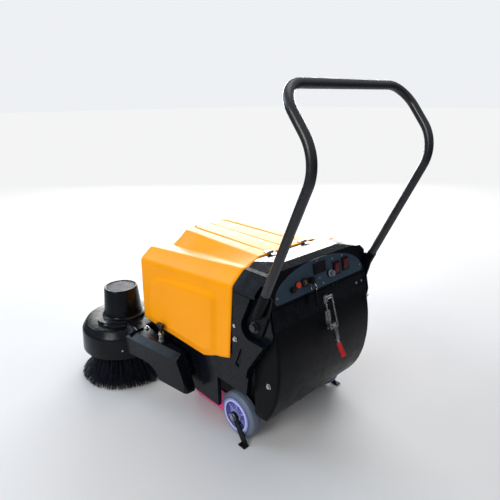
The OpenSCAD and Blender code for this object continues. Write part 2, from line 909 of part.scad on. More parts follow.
module drive_motor() color("#2c2e31") {
    disc_x(42, 12, frame_x - gap, roller_y, motor_z);
    disc_x(30, 4, 12, roller_y, motor_z);
    block([60, roller_y - 24, roller_z + housing_r + 3 + gap], [140, roller_y + 24, motor_z - 20]);
}

module motor_pulley() color(zinc) {
    disc_x(7, frame_x, pulley_x + pulley_w, roller_y, motor_z);
    disc_x(small_pulley_r, pulley_x, pulley_x + pulley_w, roller_y, motor_z);
}

module belt_outline(t) {
    hull() {
        translate([roller_y, roller_z]) circle(r = big_pulley_r + t, $fn = 96);
        translate([roller_y, motor_z]) circle(r = small_pulley_r + t, $fn = 96);
    }
}

module drive_belt() color("#151515") {
    along_x(pulley_x + 1, pulley_x + pulley_w - 1) difference() {
        belt_outline(3.5);
        belt_outline(0.4);
    }
}

module battery() color("#33373c") {
    block([-160, 275, pan_z + sheet + gap], [160, 440, 330]);
    for (x = [-120, 120]) translate([x, 400, 330]) cylinder(r = 8, h = 14);
    for (x = [-60, 60]) block([x - 6, 300, 330], [x + 6, 415, 338]);
}

module filter_panel() color("#d8d3c4") {
    difference() {
        block([-120, -118, 433.2], [120, -30, 460]);
        for (x = [-110 : 10 : 105]) block([x, -112, 440], [x + 5, -36, 461]);
    }
}

module suction_fan() color("#2b2d30") {
    translate([0, -64, 460.3]) {
        cylinder(r = 52, h = 56);
        cylinder(r = 32, h = 98);
        translate([0, 14, 8]) cube([84, 36, 36]);
    }
}

// ---- side brush ----------------------------------------------------------------------

arm_x = 256;
strap_top = 236;

// Plan of the arm, moved in by i, with its outer top edge set back by d
function arm_plan(i, d) = [
    [-arm_x - i, 158 + i], [-286 + i + d, 158 + i], [-293 + i + d, 168 + i],
    [-338 + i + d, 470 + i], [-arm_x - i, 470 + i]
];

module arm_block(i) {
    low = i > 0 ? 60 : 100;
    difference() {
        hull() {
            translate([0, 0, low]) linear_extrude(214 - i / 2 - low) polygon(arm_plan(i, 0));
            translate([0, 0, arm_top - i - 1]) linear_extrude(1) polygon(arm_plan(i, 24));
        }
        translate([side_pos.x, side_pos.y, 0]) cylinder(r = guard_r + 2 + i, h = 400);
        along_x(-400, -200) polygon([[100, 90], [147 + i, 90], [204 + i, 235], [100, 235]]);
    }
}

// Strap that crosses the guard and hugs the cap's base, in plan
module strap_outline() {
    c = [side_pos.x, side_pos.y];
    polygon(concat(
        [[-312, 436], [-274, 436]],
        [for (a = [-98 : -6 : -182]) c + 80 * [cos(a), sin(a)]],
        [for (a = [-182 : 6 : -116]) c + 104 * [cos(a), sin(a)]]
    ));
}

module side_brush_arm() color(black) {
    difference() {
        union() {
            difference() {
                arm_block(0);
                arm_block(3.5);
            }
            // tongue that carries the brush motor
            translate([0, 0, guard_top + 0.4]) linear_extrude(arm_top - guard_top - 0.4)
                polygon([[-303, 420], [-262, 420], [-246, 480], [-236, 570], [-290, 570], [-306, 474]]);
            translate([0, 0, guard_top + 0.4]) linear_extrude(strap_top - guard_top - 0.4) strap_outline();
            disc_x(17, -287, -arm_x, arm_pivot.y, arm_pivot.z);
        }
        along_x(-400, -200) polygon([
            [280, 50], [288, 104], [304, 132], [330, 148], [366, 152], [500, 152], [500, 50]
        ]);
        block([-400, 100, 50], [-200, 300, 105]);
        disc_x(bolt_r + run, -284.5, -200, arm_pivot.y, arm_pivot.z);
        translate([side_pos.x, side_pos.y, 0]) cylinder(r = 43, h = 400);
        translate([knob_pos.x, knob_pos.y, 0]) cylinder(r = stem_r + run, h = 400);
        translate([strap_bolt.x, strap_bolt.y, 0]) cylinder(r = 3 + run, h = 400);
    }
}

module brush_guard() color(black) {
    t = 3;
    translate([side_pos.x, side_pos.y, 0]) rotate_extrude($fn = 120) polygon([
        [72, guard_top], [guard_r - 24, guard_top - 1], [guard_r - 5, guard_top - 28], [guard_r, 118],
        [guard_r - t, 118], [guard_r - 5 - t, guard_top - 28], [guard_r - 25, guard_top - t - 1],
        [72, guard_top - t]
    ]);
}

cap_top = 344.7;

module motor_cap() color(black) {
    z0 = arm_top + gap;
    translate([side_pos.x, side_pos.y, 0]) rotate_extrude($fn = 96) polygon([
        [78, z0], [78, 237], [71, 243], [60.5, cap_top - 4], [58.8, cap_top], [53, cap_top],
        [51, cap_top - 4], [0, cap_top - 4], [0, cap_top - 7.5], [57, cap_top - 7.5],
        [67.5, 242], [73, 235], [73, z0]
    ]);
}

module side_brush_motor() color("#2c2e31") {
    translate([side_pos.x, side_pos.y, 0]) {
        translate([0, 0, guard_top]) cylinder(r = 42, h = 98);
        tube_z(bolt_r + run, 70, guard_top - 6, guard_top);
    }
}

module side_brush_plate() color("#2a2b2e") {
    translate([side_pos.x, side_pos.y, 0]) {
        translate([0, 0, 100]) cylinder(r = 118, h = 13);
        translate([0, 0, 113]) cylinder(r = bolt_r, h = guard_top - 113.5);
    }
}

module side_bristles() color("#1c1e26") {
    tip = side_brush_d / 2;
    translate([side_pos.x, side_pos.y, 0]) rotate_extrude($fn = 96) polygon([
        [70, 99.7], [116, 99.7], [122, 92], [tip - 3, 12], [tip, 3], [tip - 20, 2], [118, 14], [80, 70]
    ]);
}

stem_r = 4;
bar_low = 283;

// Lift screw with its cross bar
module lift_knob() color("#202123") {
    translate([knob_pos.x, knob_pos.y, 0]) {
        translate([0, 0, 220]) cylinder(r = stem_r, h = bar_low - 219);
        translate([0, 0, bar_low - 4]) cylinder(r = 7.5, h = 16);
        block([-6, -16, bar_low], [6, 16, bar_low + 12]);
    }
}

strap_bolt = [-262, 432];

// Spring and nuts of the lift screw, and the bolt at the root of the strap
module arm_fittings() color(zinc) {
    translate([knob_pos.x, knob_pos.y, arm_top]) {
        tube_z(stem_r + run, 11, run, 1.5);
        for (z = [3.4 : 4.5 : 26]) translate([0, 0, z])
            rotate_extrude() translate([7, 0]) circle(r = 1.4, $fn = 24);
        translate([0, 0, 28]) difference() {
            cylinder(r = 9.5, h = 6, $fn = 6);
            translate([0, 0, -1]) cylinder(r = stem_r + run, h = 10);
        }
    }
    translate([strap_bolt.x, strap_bolt.y, arm_top + run]) {
        hex_bolt(6);
        translate([0, 0, -10]) cylinder(r = 3, h = 12);
    }
}

// ---- drawing -------------------------------------------------------------------------

chassis_frame();
rear_crossmember();
side_panel_left();
side_panel_right();
front_panel();
console_cover();
control_panel();
body_fasteners();
charge_display();
indicator_lamp();
charge_socket();
panel_bezels();
power_switch();
brush_switch();
start_button();
stop_button();
key();
speed_knob();
hood();
hood_hinge_leaves();
hood_hinge_base();
handle_tube();
handle_brackets();
pivot_bolts();
hopper();
hopper_bolts();
latch_keeper();
latch_base();
latch_lever();
latch_grip();
latch_u_bolt();
wheel_axle();
axle_nuts();
axle_bushes();
tyre_left();
tyre_right();
hub_left();
hub_right();
foot_lever_left();
foot_lever_right();
roller_core();
roller_bristles();
roller_bearings();
drive_motor();
motor_pulley();
drive_belt();
dust_skirts();
battery();
suction_fan();
filter_panel();
caster_fork();
caster_wheel();
side_brush_arm();
brush_guard();
motor_cap();
side_brush_motor();
side_brush_plate();
side_bristles();
lift_knob();
arm_fittings();
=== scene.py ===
"""Looks of the walk-behind sweeper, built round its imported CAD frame.

The row frame is in metres. Outlines are drawn in millimetres and turned to metres with MM, and a value
kept in metres says so.
"""

import json
import math
import random

import bmesh
import bpy
from mathutils import Matrix, Vector


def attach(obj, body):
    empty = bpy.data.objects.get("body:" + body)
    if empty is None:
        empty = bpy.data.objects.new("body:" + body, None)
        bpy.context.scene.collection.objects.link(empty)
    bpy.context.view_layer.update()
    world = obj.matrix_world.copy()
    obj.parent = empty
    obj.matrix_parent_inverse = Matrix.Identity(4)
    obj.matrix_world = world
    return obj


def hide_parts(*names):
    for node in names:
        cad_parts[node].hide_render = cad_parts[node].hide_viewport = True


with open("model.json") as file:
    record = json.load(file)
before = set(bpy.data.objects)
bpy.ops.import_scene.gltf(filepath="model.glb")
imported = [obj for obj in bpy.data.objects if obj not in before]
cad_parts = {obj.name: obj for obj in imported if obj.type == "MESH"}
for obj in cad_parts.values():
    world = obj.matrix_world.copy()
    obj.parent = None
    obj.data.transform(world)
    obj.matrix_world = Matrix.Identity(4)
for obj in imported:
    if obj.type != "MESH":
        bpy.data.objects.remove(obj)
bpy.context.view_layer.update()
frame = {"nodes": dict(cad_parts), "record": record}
NODES = frame["nodes"]
SLOT_OF = {s["node"]: s["material_slot"] for s in frame["record"]["subparts"]}
SCENE = bpy.context.scene
MM = 0.001

# ---- camera ---------------------------------------------------------------------------
EYE = Vector((-0.964785, -0.897168, 1.015507))  # metres
YAW, PITCH, ROLL = 0.751678, 0.324695, 0.008101  # radians
LENS, SENSOR = 32.3895, 36.0  # mm
SHIFT = (-0.0114256, -0.0019278)


def make_camera():
    data = bpy.data.cameras.new("camera")
    camera = bpy.data.objects.new("camera", data)
    SCENE.collection.objects.link(camera)
    SCENE.camera = camera
    level = Vector((math.sin(YAW), math.cos(YAW), 0)) * math.cos(PITCH)
    forward = level - Vector((0, 0, math.sin(PITCH)))
    right = forward.cross(Vector((0, 0, 1))).normalized()
    up = right.cross(forward)
    turn = Matrix((right, up, -forward)).transposed() @ Matrix.Rotation(-ROLL, 3, "Z")
    camera.location = EYE
    camera.rotation_euler = turn.to_euler()
    data.sensor_width = SENSOR
    data.lens = LENS
    data.shift_x, data.shift_y = SHIFT


make_camera()


# ---- material nodes -------------------------------------------------------------------
class Nodes:
    """A material's node tree, with short calls for the nodes used here."""

    def __init__(self, name):
        self.material = bpy.data.materials.new(name)
        self.material.use_nodes = True
        self.tree = self.material.node_tree
        self.shader = next(n for n in self.tree.nodes if n.type == "BSDF_PRINCIPLED")
        self.coords = self.tree.nodes.new("ShaderNodeTexCoord").outputs["Object"]

    def add(self, kind, **inputs):
        node = self.tree.nodes.new(kind)
        for key, value in inputs.items():
            self.set(node.inputs[key.replace("_", " ")], value)
        return node

    def set(self, socket, value):
        if isinstance(value, bpy.types.NodeSocket):
            self.tree.links.new(value, socket)
        else:
            socket.default_value = value

    def shade(self, socket, value):
        self.set(self.shader.inputs[socket], value)

    def noise(self, scale, detail=3.0, rough=0.55, stretch=None):
        vector = self.coords
        if stretch:
            mapping = self.add("ShaderNodeMapping", Vector=vector)
            mapping.inputs["Scale"].default_value = stretch
            vector = mapping.outputs["Vector"]
        node = self.add("ShaderNodeTexNoise", Vector=vector, Scale=scale, Detail=detail, Roughness=rough)
        return node.outputs["Fac"]

    def ramp(self, value, low, high, a, b):
        """Turns the span from low to high into the span from a to b, clamped."""
        node = self.add("ShaderNodeMapRange", Value=value, From_Min=low, From_Max=high, To_Min=a, To_Max=b)
        return node.outputs["Result"]

    def mix(self, factor, a, b):
        node = self.add("ShaderNodeMix")
        node.data_type = "RGBA"
        for socket, value in zip((node.inputs[0], node.inputs[6], node.inputs[7]), (factor, a, b)):
            self.set(socket, value)
        return node.outputs[2]

    def times(self, a, b):
        node = self.add("ShaderNodeMath")
        node.operation = "MULTIPLY"
        self.set(node.inputs[0], a)
        self.set(node.inputs[1], b)
        return node.outputs[0]


def rgba(color, k=1.0):
    return (color[0] * k, color[1] * k, color[2] * k, 1.0)


# ---- materials ------------------------------------------------------------------------
DUST = (0.30, 0.27, 0.23)
DUST_TOP = 0.35  # metres above the piece's origin
SCRATCH_STRETCH = (1.0, 9.0, 1.0)
COAT_ROUGH = 0.12
BUMP_DEPTH = 0.0004  # metres


def finish(name, color, rough=0.4, metal=0.0, vary=0.15, grain=900.0, bump=0.15, coat=0.0,
           dust=0.0, spread=0.1, scratch=0.0, spec=0.5):
    """A surface with mottled colour and roughness, a fine grain, and dust that gathers low down."""
    n = Nodes(name)
    broad = n.noise(7.0, 4.0)
    color_out = n.mix(n.ramp(broad, 0.35, 0.65, 0.0, 1.0), rgba(color, 1 - vary), rgba(color, 1 + vary))
    if scratch:
        worn = n.ramp(n.noise(60.0, 6.0, 0.7, SCRATCH_STRETCH), 0.62, 0.74, 0.0, scratch)
        color_out = n.mix(worn, color_out, rgba(tuple(0.5 * c + 0.25 for c in color)))
    if dust:
        height = n.add("ShaderNodeSeparateXYZ", Vector=n.coords).outputs["Z"]
        low = n.ramp(height, 0.0, DUST_TOP, dust, 0.0)
        cloudy = n.times(low, n.ramp(n.noise(22.0, 6.0, 0.7), 0.35, 0.7, 0.0, 1.0))
        color_out = n.mix(cloudy, color_out, rgba(DUST))
    n.shade("Base Color", color_out)
    n.shade("Roughness", n.ramp(n.noise(35.0, 5.0, 0.6), 0.3, 0.7, rough - spread, rough + spread))
    n.shade("Metallic", metal)
    n.shade("Specular IOR Level", spec)
    n.shade("Coat Weight", coat)
    n.shade("Coat Roughness", COAT_ROUGH)
    height = n.noise(grain, 2.0, 0.5)
    relief = n.add("ShaderNodeBump", Strength=bump, Distance=BUMP_DEPTH, Height=height)
    n.shade("Normal", relief.outputs["Normal"])
    return n.material


PAINTS = {
    "frame_paint": dict(color=(0.0035, 0.0042, 0.0060), rough=0.38, vary=0.3, dust=0.04, spec=0.08),
    "black_cover": dict(color=(0.0024, 0.0034, 0.0060), rough=0.24, vary=0.3, bump=0.04, dust=0.02,
                        spec=0.16),
    "black_steel": dict(color=(0.0030, 0.0034, 0.0048), rough=0.34, vary=0.3, scratch=0.04, dust=0.04,
                        spec=0.09),
    "handle_paint": dict(color=(0.014, 0.0155, 0.019), rough=0.30, vary=0.2, bump=0.08, grain=1500.0),
    "hopper_plastic": dict(color=(0.0026, 0.0030, 0.0042), rough=0.36, vary=0.3, bump=0.05, dust=0.02,
                           spec=0.07),
    "hood_orange": dict(color=(1.0, 0.360, 0.0025), rough=0.34, vary=0.02, bump=0.03, grain=700.0,
                        spread=0.05, spec=0.12),
    "panel_slate": dict(color=(0.028, 0.052, 0.082), vary=0.12, bump=0.1, grain=1800.0, spec=0.3),
    "screen": dict(color=(0.006, 0.004, 0.007), rough=0.20, coat=0.2, bump=0.02, vary=0.3, spread=0.05,
                   spec=0.3),
    "lamp_lens": dict(color=(0.08, 0.13, 0.20), rough=0.15, coat=0.5, bump=0.05, spread=0.05),
    "switch_black": dict(color=(0.0045, 0.0045, 0.0055), rough=0.32, vary=0.3, spec=0.35),
    "switch_red": dict(color=(0.085, 0.0015, 0.005), rough=0.20, coat=0.15, bump=0.03, spread=0.06),
    "button_orange": dict(color=(0.62, 0.055, 0.02), rough=0.30, coat=0.3, bump=0.05),
    "knob_silver": dict(color=(0.50, 0.52, 0.56), rough=0.28, metal=1.0, vary=0.1, bump=0.1, grain=400.0),
    "zinc": dict(color=(0.50, 0.51, 0.53), rough=0.26, metal=1.0, vary=0.35, bump=0.25, grain=420.0,
                 spread=0.12),
    "dark_bolt": dict(color=(0.009, 0.010, 0.012), rough=0.35, vary=0.3, bump=0.2),
    "grip_red": dict(color=(0.42, 0.007, 0.013), rough=0.36, vary=0.12, bump=0.2, grain=600.0),
    "bearing_steel": dict(color=(0.40, 0.40, 0.42), rough=0.28, metal=1.0, vary=0.2),
    "tyre_grey": dict(color=(0.112, 0.148, 0.212), rough=0.52, vary=0.12, bump=0.25, grain=450.0, dust=0.12,
                      spec=0.35),
    "hub_lavender": dict(color=(0.24, 0.26, 0.60), rough=0.34, vary=0.12, bump=0.1, dust=0.1),
    "roller_steel": dict(color=(0.20, 0.21, 0.22), rough=0.35, metal=0.9, vary=0.2),
    "bristle": dict(color=(0.010, 0.013, 0.022), rough=0.42, vary=0.5, bump=0.02),
    "motor_dark": dict(color=(0.020, 0.021, 0.024), rough=0.42, vary=0.2, bump=0.2, dust=0.1),
    "belt_rubber": dict(color=(0.010, 0.010, 0.010), rough=0.6, vary=0.3, bump=0.3),
    "skirt_pink": dict(color=(0.78, 0.045, 0.25), rough=0.42, vary=0.1, dust=0.1),
    "battery_case": dict(color=(0.020, 0.022, 0.026), rough=0.45, bump=0.2),
    "filter_media": dict(color=(0.62, 0.57, 0.44), rough=0.85, bump=0.5, grain=250.0),
    "caster_rubber": dict(color=(0.06, 0.06, 0.065), rough=0.55, vary=0.2, bump=0.3, dust=0.3),
}
LOOKS = {name: finish(name, **settings) for name, settings in PAINTS.items()}
BRASS = finish("brass", (0.34, 0.28, 0.16), 0.30, metal=1.0, vary=0.2, bump=0.1)
DISC_GREY = finish("disc_grey", (0.05, 0.052, 0.060), 0.5, vary=0.2, bump=0.3, grain=300.0, spec=0.12)
RIM_BRIGHT = finish("rim_bright", (0.50, 0.52, 0.85), 0.25, coat=0.4, vary=0.08, bump=0.05)


# ---- carried-over CAD nodes -----------------------------------------------------------
def soften(node, width, angle=32.0, segments=2):
    """Rounds the sharp edges of a piece; the width is in mm."""
    bevel = node.modifiers.new("edge", "BEVEL")
    bevel.width = width * MM
    bevel.segments = segments
    bevel.limit_method = "ANGLE"
    bevel.angle_limit = math.radians(angle)
    bevel.harden_normals = True
    bevel.use_clamp_overlap = True


def make_wall(shell, thickness, offset):
    """Gives a sheet its thickness in mm; offset -1 grows it inwards, and 0 both ways."""
    wall = shell.modifiers.new("wall", "SOLIDIFY")
    wall.thickness = thickness * MM
    wall.offset = offset


EDGE_WIDTHS = {
    "console_cover": 4.0, "side_panel_left": 2.0, "side_panel_right": 2.0, "axle_nuts": 0.5,
    "rear_crossmember": 1.0, "front_panel": 1.5, "side_brush_arm": 3.0, "foot_lever_left": 0.6,
    "foot_lever_right": 0.6, "handle_brackets": 0.8, "control_panel": 0.4, "battery": 3.0,
    "speed_knob": 0.8, "power_switch": 1.2, "brush_switch": 1.2, "start_button": 0.6,
    "stop_button": 0.6, "panel_bezels": 0.5, "key": 0.8, "latch_lever": 0.5, "latch_grip": 0.8,
    "charge_display": 0.6, "lift_knob": 0.8, "hopper_bolts": 0.4, "pivot_bolts": 0.5,
}
for name, node in NODES.items():
    node.data.materials.clear()
    node.data.materials.append(LOOKS[SLOT_OF[name]])
    if name in EDGE_WIDTHS:
        soften(node, EDGE_WIDTHS[name])


# ---- numbers and outlines -------------------------------------------------------------
def clamp(v, low=0.0, high=1.0):
    return max(low, min(high, v))


def smooth(v):
    v = clamp(v)
    return v * v * (3 - 2 * v)


def between(a, b, t):
    """The value at share t of the way from a to b, held at both ends."""
    return a + (b - a) * clamp(t)


def rounded(points, radius, steps=4):
    """Rounds the corners of a closed outline of 2-D points; a point's own third value wins."""
    out = []
    count = len(points)
    for i, p in enumerate(points):
        r = p[2] if len(p) > 2 else radius
        here, before, after = Vector(p[:2]), Vector(points[i - 1][:2]), Vector(points[(i + 1) % count][:2])
        a, b = before - here, after - here
        r = min(r, 0.45 * a.length, 0.45 * b.length)
        a.normalize()
        b.normalize()
        for k in range(steps + 1):
            t = k / steps
            out.append(here + a * r * (1 - t) ** 2 + b * r * t ** 2)
    return out


def fillet(points, radii, steps=5):
    """An open outline with its inner points rounded; always the same number of points."""
    out = [Vector(points[0])]
    for i in range(1, len(points) - 1):
        here = Vector(points[i])
        a, b = Vector(points[i - 1]) - here, Vector(points[i + 1]) - here
        r = min(radii[i - 1], 0.45 * a.length, 0.45 * b.length)
        a, b = a.normalized() * r, b.normalized() * r
        out += [here + a * (1 - k / steps) ** 2 + b * (k / steps) ** 2 for k in range(steps + 1)]
    out.append(Vector(points[-1]))
    return out


def profile_mm(points, radius, steps=4):
    """A rounded closed outline drawn in mm, as (radius, height) pairs in metres."""
    return [(p.x * MM, p.y * MM) for p in rounded(points, radius, steps)]


def corner_path(points, radii, step=0.006):
    """Straight runs with circular bends at the inner points, in metres, and a point about every step."""
    out = [points[0]]
    for i in range(1, len(points) - 1):
        here = points[i]
        a, b = (points[i - 1] - here).normalized(), (points[i + 1] - here).normalized()
        inner = a.angle(b)
        cut = radii[i - 1] / math.tan(inner / 2)
        start, end = here + a * cut, here + b * cut
        centre = here + (a + b).normalized() * radii[i - 1] / math.sin(inner / 2)
        sweep = math.pi - inner
        count = max(6, int(radii[i - 1] * sweep / step))
        u, v = start - centre, end - centre
        for k in range(count + 1):
            t = k / count
            out.append(centre + (u * math.sin((1 - t) * sweep) + v * math.sin(t * sweep)) / math.sin(sweep))
    out.append(points[-1])
    return out


# ---- places ---------------------------------------------------------------------------
def at(x, y, z=0.0):
    """Moves a local point to a place in the row frame, in metres."""
    base = Vector((x, y, z))
    return lambda p: base + p


def along_x(x, y, z, side):
    """Turns a lathe's +Z to the row's X, outwards on the side given."""
    return lambda p: Vector((x + side * p.z, y + p.x, z + p.y))


def along_ray(base, angle):
    """Turns a lathe's +Z to a level ray at the angle given, and its Y to the row's Z."""
    out = Vector((math.cos(angle), math.sin(angle), 0.0))
    side = Vector((-math.sin(angle), math.cos(angle), 0.0))
    return lambda p: base + out * p.z + side * p.x + Vector((0, 0, p.y))


# ---- meshes ---------------------------------------------------------------------------
def bridge(faces, i, j, count):
    """Adds the faces between two closed rings of points that start at i and j."""
    for k in range(count):
        m = (k + 1) % count
        faces.append((i + k, j + k, j + m, i + m))


def lathe(profile, steps, place):
    """Turns a closed outline of (radius, height) round +Z; place maps a local point to the row frame."""
    verts, faces = [], []
    count = len(profile)
    for i in range(steps):
        a = 2 * math.pi * i / steps
        verts += [place(Vector((r * math.cos(a), r * math.sin(a), h))) for r, h in profile]
        bridge(faces, i * count, (i + 1) % steps * count, count)
    return verts, faces


def tube_mesh(points, radius, steps=10, closed=False):
    """A round tube along a list of points, with a frame that doesn't twist."""
    verts, faces = [], []
    count = len(points)
    normal = None
    for i, p in enumerate(points):
        ahead = points[(i + 1) % count] if closed or i + 1 < count else p
        behind = points[i - 1] if closed or i else p
        d = (ahead - behind).normalized()
        if normal is None:
            normal = d.orthogonal().normalized()
        normal = (normal - d * normal.dot(d)).normalized()
        side = d.cross(normal)
        for k in range(steps):
            a = 2 * math.pi * k / steps
            verts.append(p + normal * radius * math.cos(a) + side * radius * math.sin(a))
    for i in range(count if closed else count - 1):
        bridge(faces, i * steps, (i + 1) % count * steps, steps)
    if not closed:
        faces.append(tuple(range(steps - 1, -1, -1)))
        faces.append(tuple((count - 1) * steps + k for k in range(steps)))
    return verts, faces


def disc_profile(radius, low, high, edge=0.4, hole=0.4):
    """Outline of a disc or washer in mm, from one height to another, with its top edge rounded."""
    return profile_mm([(hole, low, 0.05), (radius, low, 0.1), (radius, high, edge), (hole, high, 0.05)], 0.1)


def piece(name, shape, material, body, replaced=(), smooth_angle=40.0):
    """A mesh object from points in metres and faces, riding on a body."""
    verts, faces = shape
    mesh = bpy.data.meshes.new(name)
    mesh.from_pydata([tuple(v) for v in verts], [], faces)
    mesh.validate()
    bm = bmesh.new()
    bm.from_mesh(mesh)
    bmesh.ops.recalc_face_normals(bm, faces=bm.faces)
    bm.to_mesh(mesh)
    bm.free()
    mesh.materials.append(material)
    obj = bpy.data.objects.new(name, mesh)
    SCENE.collection.objects.link(obj)
    if smooth_angle:
        mesh.shade_smooth()
        mesh.set_sharp_from_angle(angle=math.radians(smooth_angle))
    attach(obj, body)
    if replaced:
        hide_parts(*replaced)
    return obj


def merged(parts):
    """One (points, faces) shape from several."""
    verts, faces = [], []
    for part_verts, part_faces in parts:
        base = len(verts)
        verts += part_verts
        faces += [tuple(base + k for k in face) for face in part_faces]
    return verts, faces


# ---- hood: rings of points in X and Z, one at each station along Y, drawn in mm --------
HOOD_REAR, HOOD_STRAIGHT, HOOD_FRONT = -33.0, 20.0, 464.0
REAR_CUT, REAR_CUT_HEIGHT = 16.0, 271.0
LOW_EDGE = [(-33.0, 306.0), (-17.0, 301.0), (44.0, 286.0), (100.0, 264.0), (464.0, 262.5)]
FLANK_LOW_X, FLANK_TOP_X, LEDGE_X = 251.7, 246.0, 202.0
FLANK_TOP_Z, LEDGE_Z = (533.0, 486.0), (571.0, 521.0)
FLANK_ROWS = 44
HOOD_RADII = [11.0, 9.0, 7.0, 7.0, 1.0, 1.0, 3.0, 1.5]
REAR_STATIONS, STATION_GAP, NOSE_STATIONS = 4, 6.0, [447.0, 454.0, 459.0]
FRONT_ROUND = ((462.5, 1.2), (463.8, 3.4), (464.0, 6.5))
ROUND_BEYOND_X, ROUND_ABOVE_Z = 0.1, 0.47  # metres
HOOD_WALL = 3.4

CROWN_REAR, CROWN_TOP_FRONT, CROWN_FOOT_FRONT = -8.0, 392.0, 440.0
CROWN_FOOT, CROWN_TOP = (186.0, 150.0), (119.0, 113.0)
NOSE_TOP, CROWN_SLOPE = (73.0, 86.0), 3.0
FOOT_ROUND, TOP_ROUND = 60.0, 40.0
CROWN_Z = (579.5, 581.0)
STEP_X, STEP_DEPTH = 72.54, (1.0, 5.5)

PANEL_RISE, PANEL_BEVEL = 8.5, 20.0
PANEL_MIN_X, PANEL_MAX_Z = 235.0, 500.0
ARM_SHARE, ARM_CLEAR, ARM_FADE = 0.42, 6.0, 18.0
PANEL = rounded([(44, 150), (36, 494, 40), (335, 462, 90), (428, 400, 120), (432, 150)], 10, 10)


def low_edge(y):
    """Height of the hood's lower edge, which climbs towards the rear."""
    for (y0, z0), (y1, z1) in zip(LOW_EDGE, LOW_EDGE[1:]):
        if y <= y1:
            return between(z0, z1, (y - y0) / (y1 - y0))
    return LOW_EDGE[-1][1]


def panel_depth(y, z):
    """How far inside the flank's raised field a point is, from 0 at its edge to 1 past the bevel."""
    here = Vector((y, z))
    inside, nearest = False, math.inf
    for i, b in enumerate(PANEL):
        a = PANEL[i - 1]
        along = b - a
        t = clamp((here - a).dot(along) / max(along.length_squared, 1e-9))
        nearest = min(nearest, (here - a - along * t).length)
        if (a.y > z) != (b.y > z) and y < (b.x - a.x) * (z - a.y) / (b.y - a.y) + a.x:
            inside = not inside
    share = nearest / PANEL_BEVEL
    return 0.6 * clamp(share) + 0.4 * smooth(share) if inside else 0.0


def panel_rise(y, z):
    """How far the flank stands out at a point; the field is lower beside the brush arm."""
    beside_arm = between(ARM_SHARE, 1.0, (z - low_edge(y) - ARM_CLEAR) / ARM_FADE)
    return PANEL_RISE * beside_arm * panel_depth(y, z)


def round_in(y, end, radius):
    """How far an edge has curved in at y, when a quarter circle ends it at end."""
    into = min(y, end) - (end - radius)
    return radius - math.sqrt(max(radius ** 2 - into ** 2, 0.0)) if into > 0 else 0.0


def crown_lines(y):
    """Half-widths of the crown's foot and top at a station, and how much of its height it has."""
    foot = between(*CROWN_FOOT, (y - HOOD_REAR) / (CROWN_FOOT_FRONT - HOOD_REAR))
    foot -= round_in(y, CROWN_FOOT_FRONT, FOOT_ROUND)
    share = clamp((CROWN_FOOT_FRONT - y) / (CROWN_FOOT_FRONT - CROWN_TOP_FRONT))
    if y > CROWN_TOP_FRONT:
        top = between(*NOSE_TOP, 1 - share)
    else:
        top = between(*CROWN_TOP, (y - CROWN_REAR) / (CROWN_TOP_FRONT - CROWN_REAR))
        top -= round_in(y, CROWN_TOP_FRONT, TOP_ROUND)
    return foot, min(top, foot - CROWN_SLOPE), share


def hood_half_section(y):
    """The hood's outline at one station, from the lower edge of the right flank to the middle."""
    t = (y - HOOD_REAR) / (HOOD_FRONT - HOOD_REAR)
    flank_z, ledge_z = between(*FLANK_TOP_Z, t), between(*LEDGE_Z, t)
    foot, top, share = crown_lines(y)
    forward = y / CROWN_TOP_FRONT
    crown_z = ledge_z + (between(*CROWN_Z, forward) - ledge_z) * share
    deep = between(*STEP_DEPTH, smooth(forward)) * share
    step = STEP_X * top / CROWN_TOP[1]
    outline = [(FLANK_LOW_X, low_edge(y)), (FLANK_TOP_X, flank_z), (LEDGE_X, ledge_z), (foot, ledge_z)]
    outline += [(top, crown_z), (step + 2.0, crown_z), (step - 1.0, crown_z - deep), (step - 9.0, crown_z)]
    outline += [(2.0, crown_z + 0.5), (0.0, crown_z + 0.5 - deep)]
    return fillet(outline, HOOD_RADII)


def rear_y(x, z):
    """Where the hood's rear edge lies: cut forward over the crown, and forward again down the flank."""
    if x < CROWN_FOOT[0]:
        return between(HOOD_REAR, CROWN_REAR, (CROWN_FOOT[0] - x) / (CROWN_FOOT[0] - CROWN_TOP[0]))
    return between(HOOD_REAR, HOOD_REAR + REAR_CUT, (FLANK_TOP_Z[0] - z) / REAR_CUT_HEIGHT)


def hood_ring(y):
    """Both halves of the hood's section at a station; the first rings follow the shaped rear edge."""
    share = (y - HOOD_REAR) / (HOOD_STRAIGHT - HOOD_REAR)
    half = hood_half_section(y)
    flank = [half[0].lerp(half[1], k / FLANK_ROWS) for k in range(FLANK_ROWS)]
    row = []
    for x, z in flank + half[1:]:
        here_y = y if share >= 1 else between(rear_y(x, z), HOOD_STRAIGHT, share)
        if z < PANEL_MAX_Z and x > PANEL_MIN_X:
            x += panel_rise(here_y, z)
        row.append(Vector((x, here_y, z)) * MM)
    return row + [Vector((-p.x, p.y, p.z)) for p in reversed(row[:-1])]


def pull_in(ring, inset):
    """Draws a ring in by so many mm, for the rounded front edge."""
    for p in ring:
        if abs(p.x) > ROUND_BEYOND_X:
            p.x -= math.copysign(min(inset * MM, abs(p.x) * 0.4), p.x)
        if p.z > ROUND_ABOVE_Z:
            p.z -= inset * MM
    return ring


